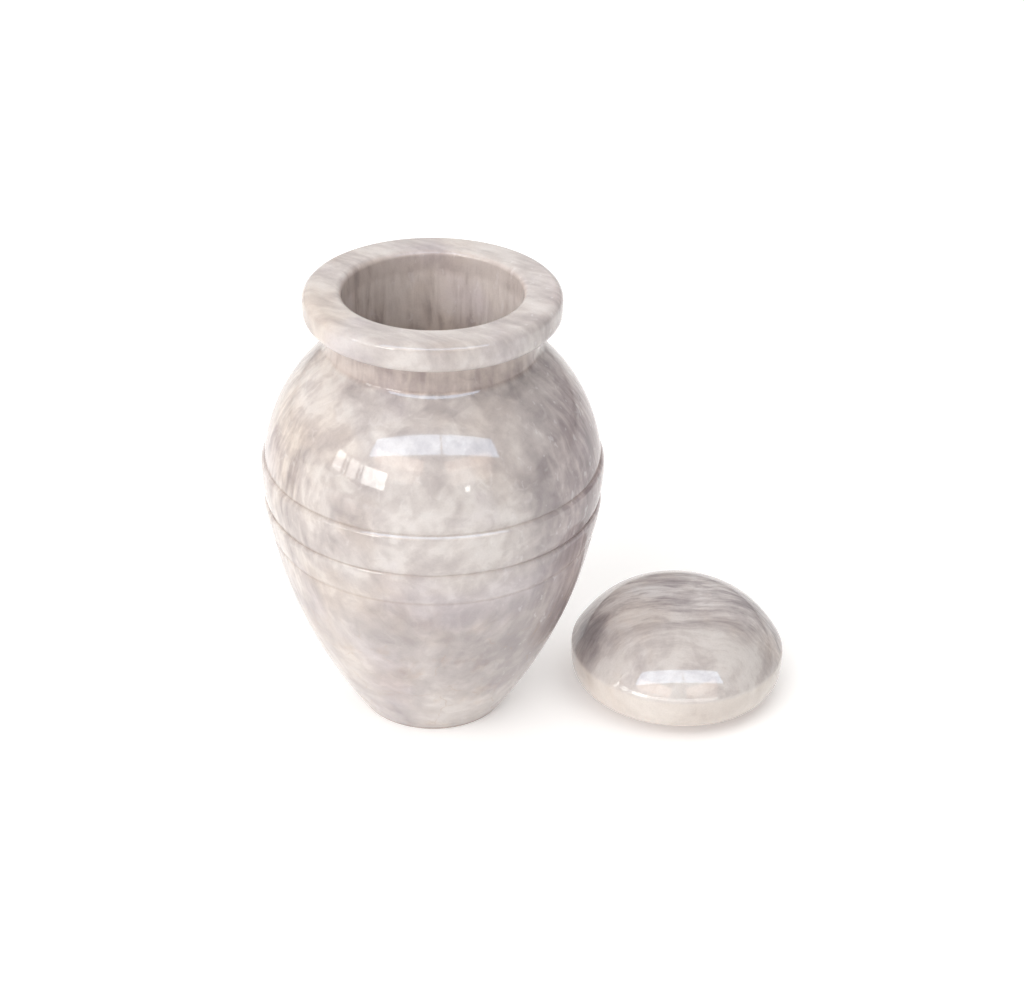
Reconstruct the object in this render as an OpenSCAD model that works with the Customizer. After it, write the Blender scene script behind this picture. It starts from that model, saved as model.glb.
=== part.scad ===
// Cremation urn turned from one block of marble, with a loose domed lid.
// The urn stands at the origin with its foot on z = 0, and +Z runs up its axis.
// The lid has been lifted off and lies on its plug, on the same surface, towards +X.

/* [Urn] */
// Height of the open urn, foot to rim
urn_h = 247; // [200:1:300]
// Widest diameter of the body, without the turned bands
body_d = 179; // [148:1:220]
// Height of the widest part of the body
belly_z = 144; // [118:1:175]
// Diameter of the foot
foot_d = 82; // [66:1:100]
// Fullness of the lower body: 1 is a straight cone, 2 a parabola
side_power = 1.93; // [1.5:0.01:2.5]
// Thickness of the stone wall
wall = 10; // [7:0.5:13]
// Thickness of the floor
floor_t = 13; // [8:0.5:20]
// Radius inside, between the floor and the wall
floor_round = 8; // [4:0.5:12]
// How far up the shoulder the hollow reaches, below a straight mouth: 1 is the neck
hollow_top = 0.785; // [0.6:0.005:0.9]

/* [Neck and rim] */
// Outside diameter of the neck
neck_d = 109.5; // [106:0.5:114]
// Height of the neck between its fillet and the rim
neck_h = 14.5; // [8:0.5:20]
// How far the neck draws in halfway up
neck_waist = 0.6; // [0:0.1:2]
// Height of the hollow fillet between the shoulder and the neck
fillet_h = 4.5; // [1:0.1:8]
// How far that fillet spreads out from the neck
fillet_w = 3; // [1:0.1:6]
// Outside diameter of the rim
rim_d = 133; // [128:1:150]
// Height of the rim
rim_h = 16.5; // [13:0.5:20]
// Radius of the rim's upper outer edge
rim_top_round = 5; // [2:0.5:6]
// Radius of the rim's lower outer edge
rim_low_round = 6; // [2:0.5:6.5]
// Diameter of the mouth
mouth_d = 93; // [78:1:94]
// Radius of the mouth's upper edge
mouth_round = 3.5; // [1:0.5:4]

/* [Turned bands] */
// Height of the lowest turned line
band_z = 111.5; // [85:0.5:120]
// Height of the lower band
low_band_h = 18.5; // [12:0.5:22]
// Height of the upper band
high_band_h = 23.5; // [15:0.5:28]
// How far the lower band's top edge stands out
low_band_step = 1; // [0:0.1:2]
// How far the upper band's top edge stands out
high_band_step = 1.3; // [0:0.1:2]
// Height of the rounded edge on top of each band
edge_h = 2.4; // [1:0.1:4]

/* [Lid] */
// Widest diameter of the lid
lid_d = 119; // [108:0.5:141]
// Height of the lid's side, from its shelf to the dome's edge
lid_side_h = 18; // [12:0.5:20]
// Rise of the dome above its edge
lid_dome_h = 29.5; // [20:0.5:40]
// Fullness of the dome: 2 is a parabola, more is flatter on top and steeper at its edge
dome_power = 3.5; // [2:0.1:5]
// Fullness of the side: 2 is an ellipse, more is straighter with a rounder foot
side_fullness = 3; // [2:0.5:5]
// Width of the flat shelf that rests on the rim
shelf_w = 8; // [5.5:0.5:10]
// Height of the plug that drops into the mouth
plug_h = 8; // [5:0.5:12]
// Play between the plug and the mouth, all round
plug_play = 1.5; // [0.5:0.1:3]
// Bevel at the foot of the plug
plug_bevel = 1; // [0.5:0.1:2]
// Clear gap between the lid's edge and the urn's side
lid_gap = 21; // [15:1:60]
// How far back the lid lies from the urn's centre line
lid_back = 4.5; // [-20:0.5:20]

/* [Hidden] */
$fn = 96;
stone = [0.80, 0.77, 0.74];
pale_stone = [0.84, 0.81, 0.78];

body_r = body_d / 2;
foot_r = foot_d / 2;
neck_r = neck_d / 2;
rim_r = rim_d / 2;
mouth_r = mouth_d / 2;
rim_z = urn_h - rim_h;
neck_z = rim_z - neck_h;
shoulder_z = neck_z - fillet_h;
shoulder_r = neck_r + fillet_w;
// The shoulder is part of an ellipse about the axis that ends at the fillet.
shoulder_rise = (shoulder_z - belly_z) / sqrt(1 - pow(shoulder_r / body_r, 2));
inner_r = body_r - wall;
bore_z = belly_z + hollow_top * (shoulder_z - belly_z);
inner_rise = (bore_z - belly_z) / sqrt(1 - pow(mouth_r / inner_r, 2));
mid_line_z = band_z + low_band_h;
top_line_z = mid_line_z + high_band_h;

plug_r = mouth_r - plug_play;
lip_r = plug_r + shelf_w;
lid_r = lid_d / 2;
dome_z = plug_h + lid_side_h;

// Hollowness of the neck's fillet: 1 is a straight cone
fillet_power = 1.45;

// Radius of the body below and above its widest part
function lower_r(z) = foot_r + (body_r - foot_r) * (1 - pow(1 - z / belly_z, side_power));
function upper_r(z) = body_r * sqrt(1 - pow((z - belly_z) / shoulder_rise, 2));
function side_r(z) = z < belly_z ? lower_r(z) : upper_r(z);

// Radius of the hollow at the same heights
function hollow_r(z) = z < belly_z ? lower_r(z) - wall
    : inner_r * sqrt(max(0, 1 - pow((z - belly_z) / inner_rise, 2)));

// Heights from a to b in n steps, without the first
function steps(a, b, n) = [for (i = [1 : n]) a + (b - a) * i / n];

// Points of an arc about [r, z], from angle a to angle b
function arc(r, z, radius, a, b, n) =
    [for (i = [0 : n]) let (t = a + (b - a) * i / n) [r + radius * cos(t), z + radius * sin(t)]];

// Outside of the body, from the foot up to the neck
function lower_outline() = [for (z = steps(0, band_z, 12)) [side_r(z), z]];
function band_outline(low_z, high_z, step) = concat(
    [for (z = steps(low_z, high_z - edge_h, 6))
        [side_r(z) + step * sin(90 * (z - low_z) / (high_z - edge_h - low_z)), z]],
    [for (a = steps(0, 90, 5)) let (z = high_z - edge_h * (1 - sin(a))) [side_r(z) + step * cos(a), z]]);
function shoulder_outline() = [for (a = steps(asin((top_line_z - belly_z) / shoulder_rise),
                                              acos(shoulder_r / body_r), 12))
    [body_r * cos(a), belly_z + shoulder_rise * sin(a)]];
function fillet_outline() = [for (t = steps(0, 1, 5))
    [neck_r + fillet_w * pow(1 - t, fillet_power), shoulder_z + fillet_h * t]];
function neck_outline() = [for (z = steps(neck_z, rim_z, 6))
    [neck_r - neck_waist * sin(180 * (z - neck_z) / neck_h), z]];

// The rim, its mouth and the hollow, from the neck round and down to the floor
function rim_outline() = concat(
    arc(rim_r - rim_low_round, rim_z + rim_low_round, rim_low_round, -90, 0, 5),
    arc(rim_r - rim_top_round, urn_h - rim_top_round, rim_top_round, 0, 90, 5),
    arc(mouth_r + mouth_round, urn_h - mouth_round, mouth_round, 90, 180, 5));
function hollow_outline() = concat(
    [for (a = steps(acos(mouth_r / inner_r), 0, 10)) [inner_r * cos(a), belly_z + inner_rise * sin(a)]],
    [for (z = steps(belly_z, floor_t + floor_round, 10)) [hollow_r(z), z]]);
function floor_outline() = concat(
    arc(hollow_r(floor_t + floor_round) - floor_round, floor_t + floor_round, floor_round, -20, -90, 4),
    [[0, floor_t]]);

module urn_body() {
    color(stone)
        rotate_extrude()
            polygon(concat(
                [[0, 0], [foot_r, 0]],
                lower_outline(),
                band_outline(band_z, mid_line_z, low_band_step),
                band_outline(mid_line_z, top_line_z, high_band_step),
                shoulder_outline(),
                fillet_outline(),
                neck_outline(),
                rim_outline(),
                [[mouth_r, bore_z]],
                hollow_outline(),
                floor_outline()));
}

// Side of the lid, a rounded quarter from the shelf's lip up to the dome's edge
function lid_side_outline() = [for (a = steps(0, 90, 10)) let (e = 2 / side_fullness)
    [lip_r + (lid_r - lip_r) * pow(sin(a), e), dome_z - lid_side_h * pow(max(0, cos(a)), e)]];

// Dome of the lid, from its edge up to the middle
function lid_dome_outline() = [for (a = steps(0, 90, 16))
    [lid_r * cos(a), dome_z + lid_dome_h * (1 - pow(max(0, cos(a)), dome_power))]];

lid_x = side_r(dome_z) + lid_gap + lid_r;

module lid() {
    color(pale_stone)
        translate([lid_x, lid_back, 0])
            rotate_extrude()
                polygon(concat(
                    [[0, 0], [plug_r - plug_bevel, 0], [plug_r, plug_bevel], [plug_r, plug_h], [lip_r, plug_h]],
                    lid_side_outline(),
                    lid_dome_outline()));
}

urn_body();
lid();
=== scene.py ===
from math import acos, asin, cos, degrees, pi, radians, sin, sqrt, tan

import bpy
from mathutils import Matrix, Vector


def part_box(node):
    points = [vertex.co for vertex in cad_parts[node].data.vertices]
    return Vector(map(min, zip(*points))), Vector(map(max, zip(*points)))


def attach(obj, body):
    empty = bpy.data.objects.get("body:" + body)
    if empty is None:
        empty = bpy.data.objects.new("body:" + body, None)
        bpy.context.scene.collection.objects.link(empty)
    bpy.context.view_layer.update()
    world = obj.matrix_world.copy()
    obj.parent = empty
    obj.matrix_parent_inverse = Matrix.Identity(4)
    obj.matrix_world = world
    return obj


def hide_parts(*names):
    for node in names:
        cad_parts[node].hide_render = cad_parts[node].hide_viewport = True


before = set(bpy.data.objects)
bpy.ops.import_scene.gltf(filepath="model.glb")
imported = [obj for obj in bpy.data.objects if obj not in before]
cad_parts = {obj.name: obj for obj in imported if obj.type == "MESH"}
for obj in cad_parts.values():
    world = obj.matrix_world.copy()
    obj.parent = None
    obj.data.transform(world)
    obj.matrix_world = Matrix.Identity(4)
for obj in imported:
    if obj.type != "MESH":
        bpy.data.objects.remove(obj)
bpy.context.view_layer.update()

scene = bpy.context.scene

# ---------------------------------------------------------------- camera
# A still camera a metre in front of the urn and a little above it, looking down at the mouth
# and slightly to the right, so that the open urn and the lid beside it share the frame.
camera_data = bpy.data.cameras.new("camera")
camera_data.sensor_width = 36.0
camera_data.lens = 75.73
camera_data.clip_end = 60.0
camera = bpy.data.objects.new("camera", camera_data)
scene.collection.objects.link(camera)
pitch, swing, tilt = 30.417, 2.427, 1.111
camera.matrix_world = (
    Matrix.Translation((0.0, -0.99603, 0.71127))
    @ Matrix.Rotation(radians(-swing), 4, "Z")
    @ Matrix.Rotation(radians(90.0 - pitch), 4, "X")
    @ Matrix.Rotation(radians(tilt), 4, "Z"))
scene.camera = camera
scene.view_settings.view_transform = "Standard"


# ---------------------------------------------------------------- floor
# One wide sheet of matt white paper under the urn and the lid. It is not part of the object.
bpy.ops.object.select_all(action="DESELECT")
bpy.ops.mesh.primitive_plane_add(size=16.0, location=(0.0, 0.0, 0.0))
floor = bpy.context.object
floor.name = "floor"
paper = bpy.data.materials.new("white_paper")
paper.use_nodes = True
paper_face = paper.node_tree.nodes["Principled BSDF"]
paper_face.inputs["Base Color"].default_value = (0.88, 0.875, 0.87, 1.0)
paper_face.inputs["Roughness"].default_value = 0.9
paper_face.inputs["Specular IOR Level"].default_value = 0.0
paper_face.inputs["Emission Color"].default_value = (1.0, 0.99, 0.985, 1.0)
paper_face.inputs["Emission Strength"].default_value = 0.28
floor.data.materials.append(paper)


# ---------------------------------------------------------------- light
# A soft pale room: a broad soft light from the left and above, faint light from all round, and
# panels that only the polish mirrors: a barred window, a long cool high window and warm walls.
room = bpy.data.worlds.new("room")
room.use_nodes = True
room.node_tree.nodes["Background"].inputs["Color"].default_value = (1.0, 0.985, 0.975, 1.0)
room.node_tree.nodes["Background"].inputs["Strength"].default_value = 0.17
scene.world = room

aim = Vector((0.04, 0.0, 0.15))


def panel(name, azimuth, elevation, wide, high, radiance, colour, mirrored=True, lights=True):
    """A flat light 3 m from the aim, azimuth 0 in front and + to the right, sizes in degrees of sky.
    It may be seen only in the polish, or only light the stone and the floor."""
    away, a, e = 3.0, radians(azimuth), radians(elevation)
    data = bpy.data.lights.new(name, "AREA")
    data.shape = "RECTANGLE"
    data.size = 2.0 * away * tan(radians(wide / 2.0))
    data.size_y = 2.0 * away * tan(radians(high / 2.0))
    data.energy = radiance * pi * data.size * data.size_y
    data.color = colour
    lamp = bpy.data.objects.new(name, data)
    scene.collection.objects.link(lamp)
    lamp.location = aim + away * Vector((sin(a) * cos(e), -cos(a) * cos(e), sin(e)))
    lamp.rotation_euler = (aim - lamp.location).to_track_quat("-Z", "Y").to_euler()
    lamp.visible_glossy = mirrored
    lamp.visible_diffuse = lights
    return lamp


daylight, sky = (1.0, 0.985, 0.95), (0.60, 0.77, 1.0)
rosy, plain, rosy_grey = (1.0, 0.74, 0.60), (1.0, 0.985, 0.97), (1.0, 0.93, 0.92)
# Panes of the barred window at the left: (azimuth, wide, radiance).
window_panes = ((-69.0, 6.5, 6.0), (-63.0, 0.9, 6.0), (-57.3, 6.6, 6.5), (-51.6, 0.9, 7.5),
                (-41.0, 16.0, 9.5))
for pane, (azimuth, wide, radiance) in enumerate(window_panes):
    panel("window_pane_%d" % pane, azimuth, 15.0, wide, 11.5, radiance, daylight, lights=False)
panel("window_blind", -60.0, 28.5, 15.0, 13.0, 1.3, plain, lights=False)
panel("rosy_wall_left", -27.0, 29.5, 33.0, 8.5, 3.4, rosy, lights=False)
panel("rosy_wall_right", 26.0, 29.0, 31.0, 8.0, 2.8, rosy, lights=False)
panel("rosy_wall_low_left", -27.0, 21.0, 30.0, 8.0, 1.9, rosy, lights=False)
panel("rosy_wall_low_right", 26.0, 20.5, 28.0, 8.0, 1.6, rosy, lights=False)
panel("small_lamp", 22.0, 12.3, 3.0, 3.2, 9.5, daylight, lights=False)
panel("key_light", -44.0, 34.0, 50.0, 45.0, 2.75, plain, mirrored=False)
panel("top_light", 0.0, 88.0, 80.0, 80.0, 1.25, plain, mirrored=False)
panel("fill_front", 10.0, 22.0, 50.0, 34.0, 0.15, plain, mirrored=False)
panel("fill_right", 75.0, 28.0, 60.0, 40.0, 0.06, plain, mirrored=False)
panel("fill_back", 180.0, 28.0, 100.0, 40.0, 0.35, plain, mirrored=False)
panel("fill_left", -115.0, 28.0, 60.0, 40.0, 0.35, plain, mirrored=False)
panel("far_wall_back", 180.0, 24.0, 120.0, 46.0, 0.45, rosy_grey, lights=False)
panel("far_wall_left", -112.0, 20.0, 50.0, 40.0, 0.50, plain, lights=False)
# The long high window straight ahead: upright, with a post near its middle. Its sill, its head and
# the ends of its two panes are angles seen from the aim.
ahead, sky_radiance = 2.3, 6.0
sill, head = tan(radians(36.8)), tan(radians(50.2))
for side, ends in enumerate(((-49.0, 5.3), (6.7, 50.0))):
    left, right = (tan(radians(end)) for end in ends)
    glass = panel("high_window_%d" % side, 0.0, 43.0, 10.0, 10.0, sky_radiance, sky, lights=False)
    glass.location = aim + ahead * Vector(((left + right) / 2.0, -1.0, (sill + head) / 2.0))
    glass.rotation_euler = (radians(90.0), 0.0, 0.0)
    glass.data.size, glass.data.size_y = ahead * (right - left), ahead * (head - sill)
    glass.data.energy = sky_radiance * pi * glass.data.size * glass.data.size_y


# ---------------------------------------------------------------- urn
# The urn's pot is turned on a lathe from one block of clouded grey-beige marble, hollowed out
# through the mouth, with a rolled rim, two turned bands and a flat foot. It is polished outside.
urn_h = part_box("urn_body")[1].z
body_r, belly_z, foot_r, side_power = 0.0895, 0.144, 0.041, 1.93
wall, floor_t, floor_round, hollow_top = 0.010, 0.013, 0.008, 0.785
neck_r, neck_h, neck_waist = 0.05475, 0.0145, 0.0006
fillet_h, fillet_w, fillet_power = 0.0045, 0.003, 1.45
rim_r, rim_h, rim_top_round, rim_low_round = 0.0665, 0.0165, 0.005, 0.006
mouth_r, mouth_round = 0.0465, 0.0035
low_line_z, low_band_h, high_band_h, edge_h = 0.1115, 0.0185, 0.0235, 0.0024
low_band_step, high_band_step = 0.0010, 0.0013
groove_depth, groove_reach, edge_turn = 0.0004, 0.0010, 1.5

rim_z = urn_h - rim_h
neck_z = rim_z - neck_h
shoulder_z, shoulder_r = neck_z - fillet_h, neck_r + fillet_w
shoulder_rise = (shoulder_z - belly_z) / sqrt(1.0 - (shoulder_r / body_r) ** 2)
bore_z = belly_z + hollow_top * (shoulder_z - belly_z)
inner_r = body_r - wall
inner_rise = (bore_z - belly_z) / sqrt(1.0 - (mouth_r / inner_r) ** 2)
mid_line_z = low_line_z + low_band_h
top_line_z = mid_line_z + high_band_h
round_z = floor_t + floor_round


def side_r(z):
    """Outside radius of the body at height z, without the bands."""
    if z < belly_z:
        return foot_r + (body_r - foot_r) * (1.0 - (1.0 - z / belly_z) ** side_power)
    return body_r * sqrt(1.0 - ((z - belly_z) / shoulder_rise) ** 2)


def hollow_r(z):
    """Radius of the hollow at height z."""
    if z < belly_z:
        return side_r(z) - wall
    return inner_r * sqrt(max(0.0, 1.0 - ((z - belly_z) / inner_rise) ** 2))


def steps(a, b, n):
    """Values from a to b in n even steps, without the first."""
    return [a + (b - a) * i / n for i in range(1, n + 1)]


def arc(r, z, radius, a, b, n):
    """Points of an arc about (r, z), from angle a to angle b in degrees."""
    return [(r + radius * cos(radians(t)), z + radius * sin(radians(t))) for t in [a] + steps(a, b, n)]


def eased(outline, reach, sharp=8.0):
    """The outline with each corner sharper than the angle given rounded off over a short reach."""
    done = [outline[0]]
    for before, here, after in zip(outline, outline[1:], outline[2:]):
        into = Vector(here) - Vector(before)
        out = Vector(after) - Vector(here)
        if degrees(into.angle(out, 0.0)) < sharp:
            done.append(here)
            continue
        a = Vector(here) - into.normalized() * min(reach, 0.45 * into.length)
        b = Vector(here) + out.normalized() * min(reach, 0.45 * out.length)
        for t in (0.0, 0.2, 0.4, 0.6, 0.8, 1.0):
            p = (1 - t) ** 2 * a + 2 * t * (1 - t) * Vector(here) + t ** 2 * b
            done.append(tuple(p))
    return done + [outline[-1]]


def turned(name, outline, centre, turns=256):
    """A solid turned on a lathe: a point drawn out along the outline, then spun round the axis."""
    bpy.ops.object.select_all(action="DESELECT")
    bpy.ops.mesh.primitive_plane_add(
        size=0.002, location=(centre.x + outline[0][0], centre.y, outline[0][1]))
    piece = bpy.context.object
    piece.name = name
    bpy.ops.object.transform_apply(location=True, rotation=True, scale=True)
    bpy.ops.object.mode_set(mode="EDIT")
    bpy.ops.mesh.select_all(action="SELECT")
    bpy.ops.mesh.merge(type="CENTER")
    for (r0, z0), (r1, z1) in zip(outline, outline[1:]):
        bpy.ops.mesh.extrude_vertices_move(
            TRANSFORM_OT_translate={"value": (r1 - r0, 0.0, z1 - z0)})
    bpy.ops.mesh.select_all(action="SELECT")
    bpy.ops.mesh.spin(
        steps=turns, angle=2.0 * pi, center=(centre.x, centre.y, 0.0), axis=(0.0, 0.0, 1.0))
    bpy.ops.mesh.select_all(action="SELECT")
    bpy.ops.mesh.remove_doubles(threshold=1e-6)
    bpy.ops.mesh.normals_make_consistent(inside=False)
    bpy.ops.object.mode_set(mode="OBJECT")
    bpy.ops.object.shade_smooth_by_angle(angle=radians(40.0))
    return piece


def band(low_z, high_z, step):
    """Outline of a turned band: it swells out to its top edge, which rolls back to the body."""
    crown_z = high_z - edge_h
    return ([(side_r(z) + step * sin(0.5 * pi * (z - low_z) / (crown_z - low_z)), z)
             for z in steps(low_z + groove_reach, crown_z, 18)]
            + [(side_r(crown_z + edge_h * t) + step * (1.0 - t ** edge_turn), crown_z + edge_h * t)
               for t in steps(0.0, 0.94, 10)])


def groove(z):
    """Bottom of the fine line cut on the lathe at a band's edge."""
    return [(side_r(z) - groove_depth, z)]


urn_outside = (
    [(foot_r, 0.0)]
    + [(side_r(z), z) for z in steps(0.0, low_line_z - groove_reach, 46)]
    + groove(low_line_z) + band(low_line_z, mid_line_z, low_band_step)
    + groove(mid_line_z) + band(mid_line_z, top_line_z, high_band_step)
    + groove(top_line_z)
    + [(body_r * cos(a), belly_z + shoulder_rise * sin(a))
       for a in steps(asin((top_line_z + groove_reach - belly_z) / shoulder_rise),
                      acos(shoulder_r / body_r), 46)]
    + [(neck_r + fillet_w * (1.0 - t) ** fillet_power, shoulder_z + fillet_h * t)
       for t in steps(0.0, 1.0, 8)]
    + [(neck_r - neck_waist * sin(pi * (z - neck_z) / neck_h), z) for z in steps(neck_z, rim_z, 10)]
    + arc(rim_r - rim_low_round, rim_z + rim_low_round, rim_low_round, -90, 0, 12)
    + arc(rim_r - rim_top_round, urn_h - rim_top_round, rim_top_round, 0, 90, 12)
    + arc(mouth_r + mouth_round, urn_h - mouth_round, mouth_round, 90, 180, 12))
urn_inside = (
    [(mouth_r, z) for z in steps(urn_h - mouth_round, bore_z, 10)]
    + [(inner_r * cos(a), belly_z + inner_rise * sin(a))
       for a in steps(acos(mouth_r / inner_r), 0.0, 18)]
    + [(hollow_r(z), z) for z in steps(belly_z, round_z, 22)]
    + arc(hollow_r(round_z) - floor_round, round_z, floor_round, -20, -90, 10))
urn_outline = [(0.0, 0.0)] + eased(urn_outside + urn_inside, 0.0006) + [(0.0, floor_t)]
urn = turned("urn_pot", urn_outline, Vector((0.0, 0.0, 0.0)))


def add(tree, kind, settings=None, **inputs):
    """One shader node, with its settings and with its inputs joined to other nodes or filled in.
    An input is given by its name, or as i and its number."""
    node = tree.nodes.new("ShaderNode" + kind)
    for key, value in (settings or {}).items():
        setattr(node, key, value)
    for key, value in inputs.items():
        socket = node.inputs[int(key[1:])] if key[1:].isdigit() else node.inputs[key.replace("_", " ")]
        if isinstance(value, bpy.types.NodeSocket):
            tree.links.new(value, socket)
        else:
            socket.default_value = value
    return node


def maths(tree, operation, a, b=0.0, c=0.0):
    """One sum on up to three values."""
    return add(tree, "Math", {"operation": operation}, i0=a, i1=b, i2=c).outputs[0]


def vectors(tree, operation, a, b):
    """One sum on two vectors."""
    return add(tree, "VectorMath", {"operation": operation}, i0=a, i1=b).outputs[0]


def times(tree, product, *values):
    """The product of two or more values."""
    for value in values:
        product = maths(tree, "MULTIPLY", product, value)
    return product


def less(tree, value, level):
    """The value less a level."""
    return maths(tree, "SUBTRACT", value, level)


def total(tree, terms):
    """0.5 and a sum of terms given as (value, weight, level): the weight times (value - level)."""
    at = 0.5
    for value, weight, level in terms:
        at = maths(tree, "MULTIPLY_ADD", value, weight, less(tree, at, weight * level))
    return at


def between(tree, value, low, high, start=0.0, end=1.0):
    """Value eased from start at low to end at high, and held outside them."""
    return add(tree, "MapRange", {"interpolation_type": "SMOOTHSTEP"},
               i0=value, i1=low, i2=high, i3=start, i4=end).outputs[0]


def mixed(tree, amount, a, b):
    """Value a where the amount is 0, value b where it is 1."""
    return add(tree, "Mix", None, Factor=amount, i2=a, i3=b).outputs[0]


def moved(tree, place, scale=(1.0, 1.0, 1.0), turn=(0.0, 0.0, 0.0), shift=(0.0, 0.0, 0.0)):
    """The place scaled, turned and then shifted, so that a pattern on it is stretched or moved."""
    return add(tree, "Mapping", None, Vector=place, Scale=scale, Rotation=turn, Location=shift).outputs[0]


def cloud(tree, place, scale, detail=4.0, roughness=0.55, distortion=0.0):
    """Soft cloudy values, about 0.5."""
    return add(tree, "TexNoise", None, Vector=place, Scale=scale, Detail=detail,
               Roughness=roughness, Distortion=distortion).outputs["Fac"]


def stirred(tree, place, by, scale, detail, reach, middle):
    """The place pushed about by cloudy vectors read at a second place, less their middle."""
    push = add(tree, "TexNoise", None, Vector=by, Scale=scale, Detail=detail).outputs["Color"]
    push = vectors(tree, "SUBTRACT", push, (middle, middle, middle))
    push = add(tree, "VectorMath", {"operation": "SCALE"}, i0=push, Scale=reach).outputs[0]
    return vectors(tree, "ADD", place, push)


def patch(tree, place, centre, reach):
    """A soft round patch about a centre, 1 in the middle and 0 past its reach."""
    gap = add(tree, "VectorMath", {"operation": "DISTANCE"}, i0=place, i1=centre).outputs["Value"]
    return between(tree, gap, reach * 0.1, reach, 1.0, 0.0)


def cracks(tree, place, scale, width, where, low, high):
    """Broken bits of fine crystal edges, where a cloudy value is between low and high."""
    edge = add(tree, "TexVoronoi", {"feature": "DISTANCE_TO_EDGE"}, Vector=place, Scale=scale)
    return times(tree, between(tree, edge.outputs["Distance"], 0.0, width, 1.0, 0.0),
                 between(tree, where, low, high))


def tinted(tree, base, over, amount, blend="MIX"):
    """Base colour with another colour laid over it by the amount given."""
    return add(tree, "Mix", {"data_type": "RGBA", "blend_type": blend, "clamp_factor": True},
               Factor=amount, i6=base, i7=(*over, 1.0)).outputs[2]


def stone(name, centre):
    """A new polished marble: its material, tree and shader, the place on the piece, and that place
    drifted a little, as stone flows, so that nothing drawn on it runs straight."""
    made = bpy.data.materials.new(name)
    made.use_nodes = True
    tree = made.node_tree
    shader = tree.nodes["Principled BSDF"]
    shader.inputs["IOR"].default_value = 1.52
    shader.inputs["Subsurface Weight"].default_value = 0.10
    shader.inputs["Subsurface Radius"].default_value = (1.0, 0.75, 0.6)
    shader.inputs["Subsurface Scale"].default_value = 0.004
    place = moved(tree, add(tree, "TexCoord").outputs["Object"], shift=tuple(-centre))
    warped = stirred(tree, place, place, 15.0, 3.0, 0.022, 0.5)
    return made, tree, shader, place, warped


def stone_colour(tree, tone, stops):
    """Colour of the stone for a tone from 0, dark, to 1, pale: the stops are (tone, colour)."""
    ramp = add(tree, "ValToRGB", None, Fac=tone)
    ramp.color_ramp.interpolation = "B_SPLINE"
    for i, (at, colour) in enumerate(stops):
        stop = ramp.color_ramp.elements[i] if i < 2 else ramp.color_ramp.elements.new(at)
        stop.position, stop.color = at, (*colour, 1.0)
    return ramp.outputs[0]


def polish(tree, shader, place, skin, tone, ripple_h):
    """Joins the stone's colour to its shader, with a fine dark grain, a polish that takes better on
    the pale stone than on the dark, and the faint ripple that hand polishing leaves."""
    grain = cloud(tree, place, 1100.0, 2.0)
    skin = tinted(tree, skin, (0.0, 0.0, 0.0), between(tree, grain, 0.35, 0.75, 0.0, 0.05))
    tree.links.new(skin, shader.inputs["Base Color"])
    tree.links.new(between(tree, tone, 0.2, 0.8, 0.075, 0.045), shader.inputs["Roughness"])
    ripple = add(tree, "Bump", None, Height=cloud(tree, place, 45.0, 2.0), Distance=ripple_h, Strength=0.5)
    tree.links.new(ripple.outputs[0], shader.inputs["Normal"])


def on_side(azimuth, z):
    """The point of the body's side at height z, azimuth 0 in front and + to the right."""
    return (side_r(z) * sin(radians(azimuth)), -side_r(z) * cos(radians(azimuth)), z)


stone_tones = ((0.0, (0.27, 0.24, 0.245)), (0.30, (0.44, 0.395, 0.39)), (0.48, (0.565, 0.515, 0.50)),
               (0.62, (0.66, 0.615, 0.59)), (1.0, (0.84, 0.81, 0.79)))
warm_tone_and_light_tint, cool_tone_and_shade_tint, rosy_shade_tint = (1.0, 0.93, 0.85), (0.95, 0.94, 1.0), (0.98, 0.90, 0.90)
crystal_white, fleck_white = (0.88, 0.86, 0.86), (0.88, 0.87, 0.89)
stain_tint, rust_brown, shade_and_dirt_brown = (0.90, 0.76, 0.64), (0.50, 0.36, 0.27), (0.36, 0.27, 0.22)
neck_shade_tint, inside_tint = (0.84, 0.755, 0.715), (1.0, 0.93, 0.90)
marble, tree, shader, place, warped = stone("clouded_marble", Vector((0.0, 0.0, 0.0)))

# Where on the urn: its two flanks, the collar at the neck, inside and outside the mouth, the rim.
radius = add(tree, "VectorMath", {"operation": "LENGTH"},
             i0=moved(tree, place, (1.0, 1.0, 0.0))).outputs["Value"]
where = add(tree, "SeparateXYZ", None, Vector=place)
across, height = where.outputs["X"], where.outputs["Z"]
flanks = between(tree, maths(tree, "ABSOLUTE", across), 0.045, 0.080)
collar = times(tree, between(tree, radius, 0.0560, 0.0600, 1.0, 0.0), between(tree, height, 0.190, 0.215))
inside = times(tree, between(tree, radius, 0.0468, 0.0485, 1.0, 0.0), between(tree, height, 0.15, 0.20))
outside = between(tree, radius, 0.0485, 0.0500)
rim = between(tree, maths(tree, "MULTIPLY_ADD", radius, 0.5, height), 0.2545, 0.2600)

# What the stone shows: broad clouds down to a fine mottle, pale clots, feathers that run up the
# flanks, drips at the neck and inside, and on the upper half a mosaic of soft crystals.
broad = cloud(tree, moved(tree, warped, (1.0, 1.3, 0.8)), 11.0, 2.0, 0.5)
clouds = cloud(tree, moved(tree, warped, (1.0, 1.6, 0.85)), 32.0, 3.0, 0.5, 0.4)
mottle = cloud(tree, moved(tree, warped, (1.0, 1.4, 0.85), shift=(4.0, 0.0, 1.0)), 95.0, 3.0, 0.5, 0.5)
clots = cloud(tree, moved(tree, warped, shift=(1.0, 7.0, 2.0)), 88.0, 3.0, 0.5, 0.8)
feather = cloud(tree, moved(tree, warped, (2.0, 7.0, 0.8), (0.0, radians(8.0), 0.0)), 42.0, 4.0, 0.55)
drips = cloud(tree, moved(tree, place, (1.0, 1.0, 0.18)), 190.0, 3.0, 0.55, 0.4)
flaws = stirred(tree, warped, place, 90.0, 2.0, 0.010, 0.0)
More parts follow.
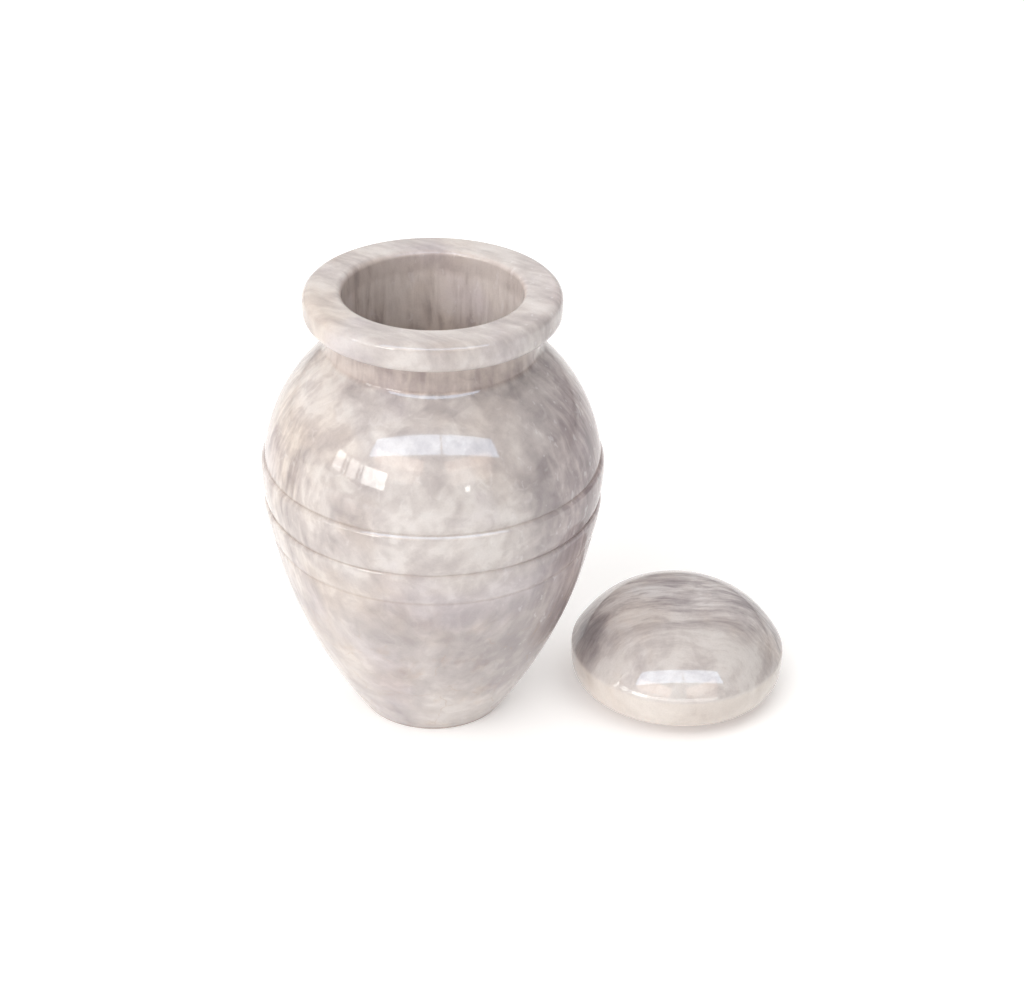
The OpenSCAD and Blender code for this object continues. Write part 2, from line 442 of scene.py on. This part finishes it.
crystals = add(tree, "TexVoronoi", {"feature": "SMOOTH_F1"}, Vector=moved(tree, flaws, (1.0, 1.0, 1.3)),
               Scale=88.0, Smoothness=0.35).outputs["Color"]
mottle_weight = between(tree, height, 0.060, 0.140, 0.24, 0.48)
feather_weight = maths(tree, "MULTIPLY_ADD", flanks, 0.75, 0.15)
drip_weight = times(tree, collar, maths(tree, "MULTIPLY_ADD", inside, 0.9, 0.6))
# Pale and dark areas: (azimuth, height, reach, weight). Most are the block's own tone; the three broad
# dark ones on the right flank are partly stone and partly painted shade on the side away from the light.
urn_areas = ((56.0, 0.185, 0.060, -0.12), (60.0, 0.130, 0.065, -0.20), (48.0, 0.060, 0.075, -0.23),
             (-4.0, 0.160, 0.034, 0.08), (30.0, 0.195, 0.016, 0.10), (50.0, 0.124, 0.014, -0.14),
             (5.0, 0.090, 0.036, -0.11), (-34.0, 0.062, 0.036, 0.08))
tone = total(tree, [
    (broad, 0.50, 0.5), (clouds, 0.70, 0.5), (between(tree, clots, 0.48, 0.66), 0.07, 0.3),
    (times(tree, less(tree, mottle, 0.5), mottle_weight), 1.0, 0.0),
    # Painted light: the inside of the mouth is made paler, most just under the lip.
    (inside, 0.16, 0.0), (times(tree, inside, between(tree, height, 0.205, 0.232)), 0.20, 0.0),
    (times(tree, less(tree, feather, 0.5), feather_weight), 1.0, 0.0),
    (times(tree, less(tree, drips, 0.47), drip_weight), 1.0, 0.0),
    (mixed(tree, between(tree, height, 0.120, 0.175), 0.5, crystals), 0.16, 0.5)]
    + [(patch(tree, warped, on_side(azimuth, z), reach), weight, 0.0)
       for azimuth, z, reach, weight in urn_areas])

# The rim is smoother, with slanted bands and wisps.
slanted = moved(tree, warped, turn=(0.0, radians(20.0), radians(35.0)))
bands = cloud(tree, moved(tree, slanted, (1.0, 2.4, 1.6)), 30.0, 3.0, 0.5)
wisps = cloud(tree, moved(tree, slanted, (1.0, 4.5, 1.5), shift=(3.0, 0.0, 0.0)), 62.0, 3.0, 0.55)
smooth = total(tree, [(tone, 0.25, 0.5), (bands, 0.60, 0.5), (wisps, 0.42, 0.5)])
tone = mixed(tree, rim, tone, maths(tree, "ADD", smooth, 0.035))
skin = stone_colour(tree, tone, stone_tones)

# Warm clouds, most of them on the left, then cool ones and a rosy cast towards the right. The clouds are
# the stone's own; their leaning warm to the left and cool and rosy to the right is painted warm light on
# the lit side and painted cool shade on the side away from it.
warmth = cloud(tree, moved(tree, warped, shift=(2.0, 3.0, 5.0)), 16.0, 3.0, 0.55)
warmth = times(tree, between(tree, warmth, 0.46, 0.66), between(tree, across, -0.010, 0.045, 1.0, 0.30))
warmth = maths(tree, "ADD", warmth, between(tree, across, -0.085, -0.030, 0.5, 0.0))
skin = tinted(tree, skin, warm_tone_and_light_tint, times(tree, warmth, 0.55), "MULTIPLY")
chill_and_shade = cloud(tree, moved(tree, warped, shift=(8.0, 1.0, 3.0)), 19.0, 3.0, 0.55)
chill_and_shade = maths(tree, "ADD", between(tree, chill_and_shade, 0.50, 0.68), between(tree, across, 0.030, 0.080, 0.0, 0.6))
skin = tinted(tree, skin, cool_tone_and_shade_tint, times(tree, chill_and_shade, 0.7), "MULTIPLY")
skin = tinted(tree, skin, rosy_shade_tint, between(tree, across, 0.050, 0.085, 0.0, 0.8), "MULTIPLY")

# Bright crystal edges on the upper body, and white flecks at the right and inside the mouth.
loose = cloud(tree, moved(tree, place, shift=(3.0, 1.0, 2.0)), 120.0, 2.0)
bright = times(tree, cracks(tree, flaws, 75.0, 0.075, loose, 0.50, 0.66),
               between(tree, height, 0.085, 0.150), less(tree, 1.0, maths(tree, "MAXIMUM", rim, inside)))
skin = tinted(tree, skin, crystal_white, times(tree, bright, 0.16))
flecks = cloud(tree, moved(tree, place, (1.0, 1.0, 0.6), shift=(0.0, 2.0, 9.0)), 230.0, 2.0)
flecks = times(tree, between(tree, flecks, 0.64, 0.70),
               maths(tree, "MAXIMUM", between(tree, across, 0.020, 0.055), inside))
skin = tinted(tree, skin, fleck_white, times(tree, flecks, 0.28))

# Low on the body, pale brown stains and a few rusty hair cracks.
stain = cloud(tree, moved(tree, slanted, (1.0, 2.0, 1.4), shift=(6.0, 0.0, 4.0)), 42.0, 4.0, 0.6)
stain = times(tree, between(tree, stain, 0.52, 0.68), between(tree, height, 0.120, 0.070, 0.0, 0.30))
skin = tinted(tree, skin, stain_tint, stain, "MULTIPLY")
rust = cracks(tree, moved(tree, flaws, shift=(0.4, 0.2, 0.7)), 30.0, 0.018, loose, 0.52, 0.40)
skin = tinted(tree, skin, rust_brown, times(tree, rust, between(tree, height, 0.10, 0.07), 0.35))

# Brown lines round the foot, in each turned line and under the rim: (height, reach, depth of colour). They
# are partly dirt and partly painted shade in the creases and where the foot meets the floor. The foot is
# narrower than the mouth, so it is the one line that isn't kept to the outside.
shade_and_dirt_lines = ((0.0, 0.0028, 0.80), (low_line_z, 0.0014, 0.26), (mid_line_z, 0.0010, 0.30),
              (top_line_z, 0.0011, 0.30), (rim_z, 0.0016, 0.30))
patchy = between(tree, clouds, 0.30, 0.62, 0.6, 1.0)
for line_z, reach, depth in shade_and_dirt_lines:
    off = maths(tree, "ABSOLUTE", less(tree, height, line_z))
    shade_and_dirt = times(tree, between(tree, off, 0.0, reach, depth, 0.0), patchy, outside if line_z else 1.0)
    skin = tinted(tree, skin, shade_and_dirt_brown, shade_and_dirt)

# The neck between body and rim is painted darker and warmer, as painted shade under the rim; the inside is
# a warmer stone.
neck_shade = times(tree, between(tree, height, 0.2125, 0.2160), between(tree, height, 0.2315, 0.2290),
               between(tree, radius, 0.0500, 0.0520))
skin = tinted(tree, skin, neck_shade_tint, times(tree, neck_shade, 0.80), "MULTIPLY")
skin = tinted(tree, skin, inside_tint, times(tree, inside, 0.80), "MULTIPLY")
polish(tree, shader, place, skin, tone, 0.00010)
urn.data.materials.append(marble)
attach(urn, "root")
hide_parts("urn_body")


# ---------------------------------------------------------------- lid
# The lid is turned from a paler, smokier piece of the same marble: a low dome over a rounded
# side, with a flat shelf below and a short plug that drops into the mouth. It lies beside the urn.
lid_low, lid_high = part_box("lid")
lid_centre = Vector(((lid_low.x + lid_high.x) / 2.0, (lid_low.y + lid_high.y) / 2.0, 0.0))
lid_r, lid_side_h, lid_dome_h, dome_power, side_fullness = 0.0595, 0.018, 0.0295, 3.5, 3.0
plug_r, plug_h, plug_bevel, lip_r = 0.045, 0.008, 0.001, 0.053
dome_z = plug_h + lid_side_h
lid_plug = [(plug_r - plug_bevel, 0.0), (plug_r, plug_bevel), (plug_r, plug_h), (lip_r, plug_h)]
lid_side = [(lip_r + (lid_r - lip_r) * sin(a) ** (2.0 / side_fullness),
             dome_z - lid_side_h * max(0.0, cos(a)) ** (2.0 / side_fullness))
            for a in steps(0.0, pi / 2.0, 24)]
lid_dome = [(lid_r * cos(a), dome_z + lid_dome_h * (1.0 - cos(a) ** dome_power))
            for a in steps(0.0, radians(89.0), 70)]
# The side's last points and the dome's first make way for a softly rolled edge between the two.
lid_outline = ([(0.0, 0.0)] + eased(lid_plug + lid_side[:-4], 0.0009)[:-1]
               + eased([lid_side[-5], (lid_r, dome_z)] + lid_dome[9:], 0.0030) + [(0.0, lid_high.z)])
lid = turned("lid_dome", lid_outline, lid_centre)

lid_warm_tint, smoke_tint, skirt_light_tint = (1.0, 0.93, 0.86), (0.94, 0.95, 1.0), (1.0, 0.955, 0.90)
plug_shade_tint = (0.62, 0.52, 0.48)
smoke, tree, shader, place, warped = stone("smoky_marble", lid_centre)

# Where on the lid: the plain skirt below the rolled edge, the foot of the dome just above it, and
# the smoky crown, which is towards the back.
height = add(tree, "SeparateXYZ", None, Vector=place).outputs["Z"]
where = add(tree, "SeparateXYZ", None, Vector=warped)
forward, up = where.outputs["Y"], where.outputs["Z"]
skirt, shaded_dome_foot = between(tree, height, 0.0276, 0.0242), between(tree, height, 0.0255, 0.0280)
smoky = times(tree, between(tree, forward, -0.040, 0.010), between(tree, up, 0.018, 0.034))

# The stone lies in thin layers that tip forward, drawn out into wisps and dark threads.
layers = moved(tree, warped, turn=(radians(-64.0), 0.0, radians(-6.0)))
layers = moved(tree, layers, (1.0, 1.7, 5.2))
wisps = cloud(tree, layers, 26.0, 6.0, 0.65, 0.3)
threads = cloud(tree, moved(tree, layers, (1.0, 1.2, 1.3), shift=(0.0, 5.0, 2.0)), 34.0, 5.0, 0.6)
fine = cloud(tree, moved(tree, layers, (1.5, 1.5, 2.6)), 60.0, 4.0, 0.6)
blobs = cloud(tree, moved(tree, warped, shift=(5.0, 2.0, 1.0)), 38.0, 5.0, 0.55, 0.5)
wisp_weight = maths(tree, "MULTIPLY_ADD", smoky, 1.0, 0.30)
# Pale and dark areas: (centre, reach, weight). Most are the block's own tone; the two broad dark ones on
# the right are partly painted shade, and the pale one at the front of the dome is partly a painted
# highlight.
lid_areas = (((-0.052, -0.013, 0.037), 0.022, -0.34), ((-0.031, -0.003, 0.051), 0.026, 0.20),
             ((0.034, -0.003, 0.051), 0.016, -0.16), ((-0.014, -0.050, 0.036), 0.024, 0.09),
             ((-0.052, -0.028, 0.018), 0.012, -0.16), ((0.044, -0.010, 0.038), 0.042, -0.12),
             ((0.034, -0.043, 0.034), 0.040, -0.06))
tone = total(tree, [
    (blobs, 0.85, 0.5), (times(tree, less(tree, fine, 0.5), less(tree, 1.0, skirt)), 0.36, 0.0),
    # Painted light and painted shade: the skirt below the rolled edge is made paler and the foot of the
    # dome above it darker.
    (smoky, -0.09, 0.0), (skirt, 0.16, 0.0), (shaded_dome_foot, -0.05, 0.0),
    (times(tree, between(tree, threads, 0.56, 0.70), smoky), -0.22, 0.0),
    (times(tree, less(tree, wisps, 0.5), wisp_weight), 1.65, 0.0)]
    + [(patch(tree, warped, centre, reach), weight, 0.0) for centre, reach, weight in lid_areas])
tone = maths(tree, "ADD", tone, 0.13)
skin = stone_colour(tree, tone, stone_tones)

# Warm clouds and a cool cast on the smoky crown; a cream tint on the skirt, strongest at the front, that
# is painted light from the floor; and a dull plug darkened by painted shade under the shelf.
warmth = cloud(tree, moved(tree, warped, shift=(2.0, 3.0, 5.0)), 18.0, 4.0, 0.6)
warmth = between(tree, warmth, 0.46, 0.66)
skin = tinted(tree, skin, lid_warm_tint, times(tree, warmth, 0.6), "MULTIPLY")
skin = tinted(tree, skin, smoke_tint, times(tree, smoky, 0.5), "MULTIPLY")
skirt_light = times(tree, skirt, between(tree, forward, 0.000, -0.035, 0.2, 0.7))
skin = tinted(tree, skin, skirt_light_tint, skirt_light, "MULTIPLY")
# Painted shade on the plug, under the shelf.
skin = tinted(tree, skin, plug_shade_tint, between(tree, height, 0.0100, 0.0082, 0.0, 0.85), "MULTIPLY")
polish(tree, shader, place, skin, tone, 0.00008)
lid.data.materials.append(smoke)
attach(lid, "root")
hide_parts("lid")

# A low pale strip that only the lid mirrors, along the crease round its dome.
lid_only = bpy.data.collections.new("lid_only")
lid_only.objects.link(lid)
strip = panel("low_wall", -4.0, 14.0, 84.0, 19.0, 3.4, plain, lights=False)
strip.light_linking.receiver_collection = lid_only
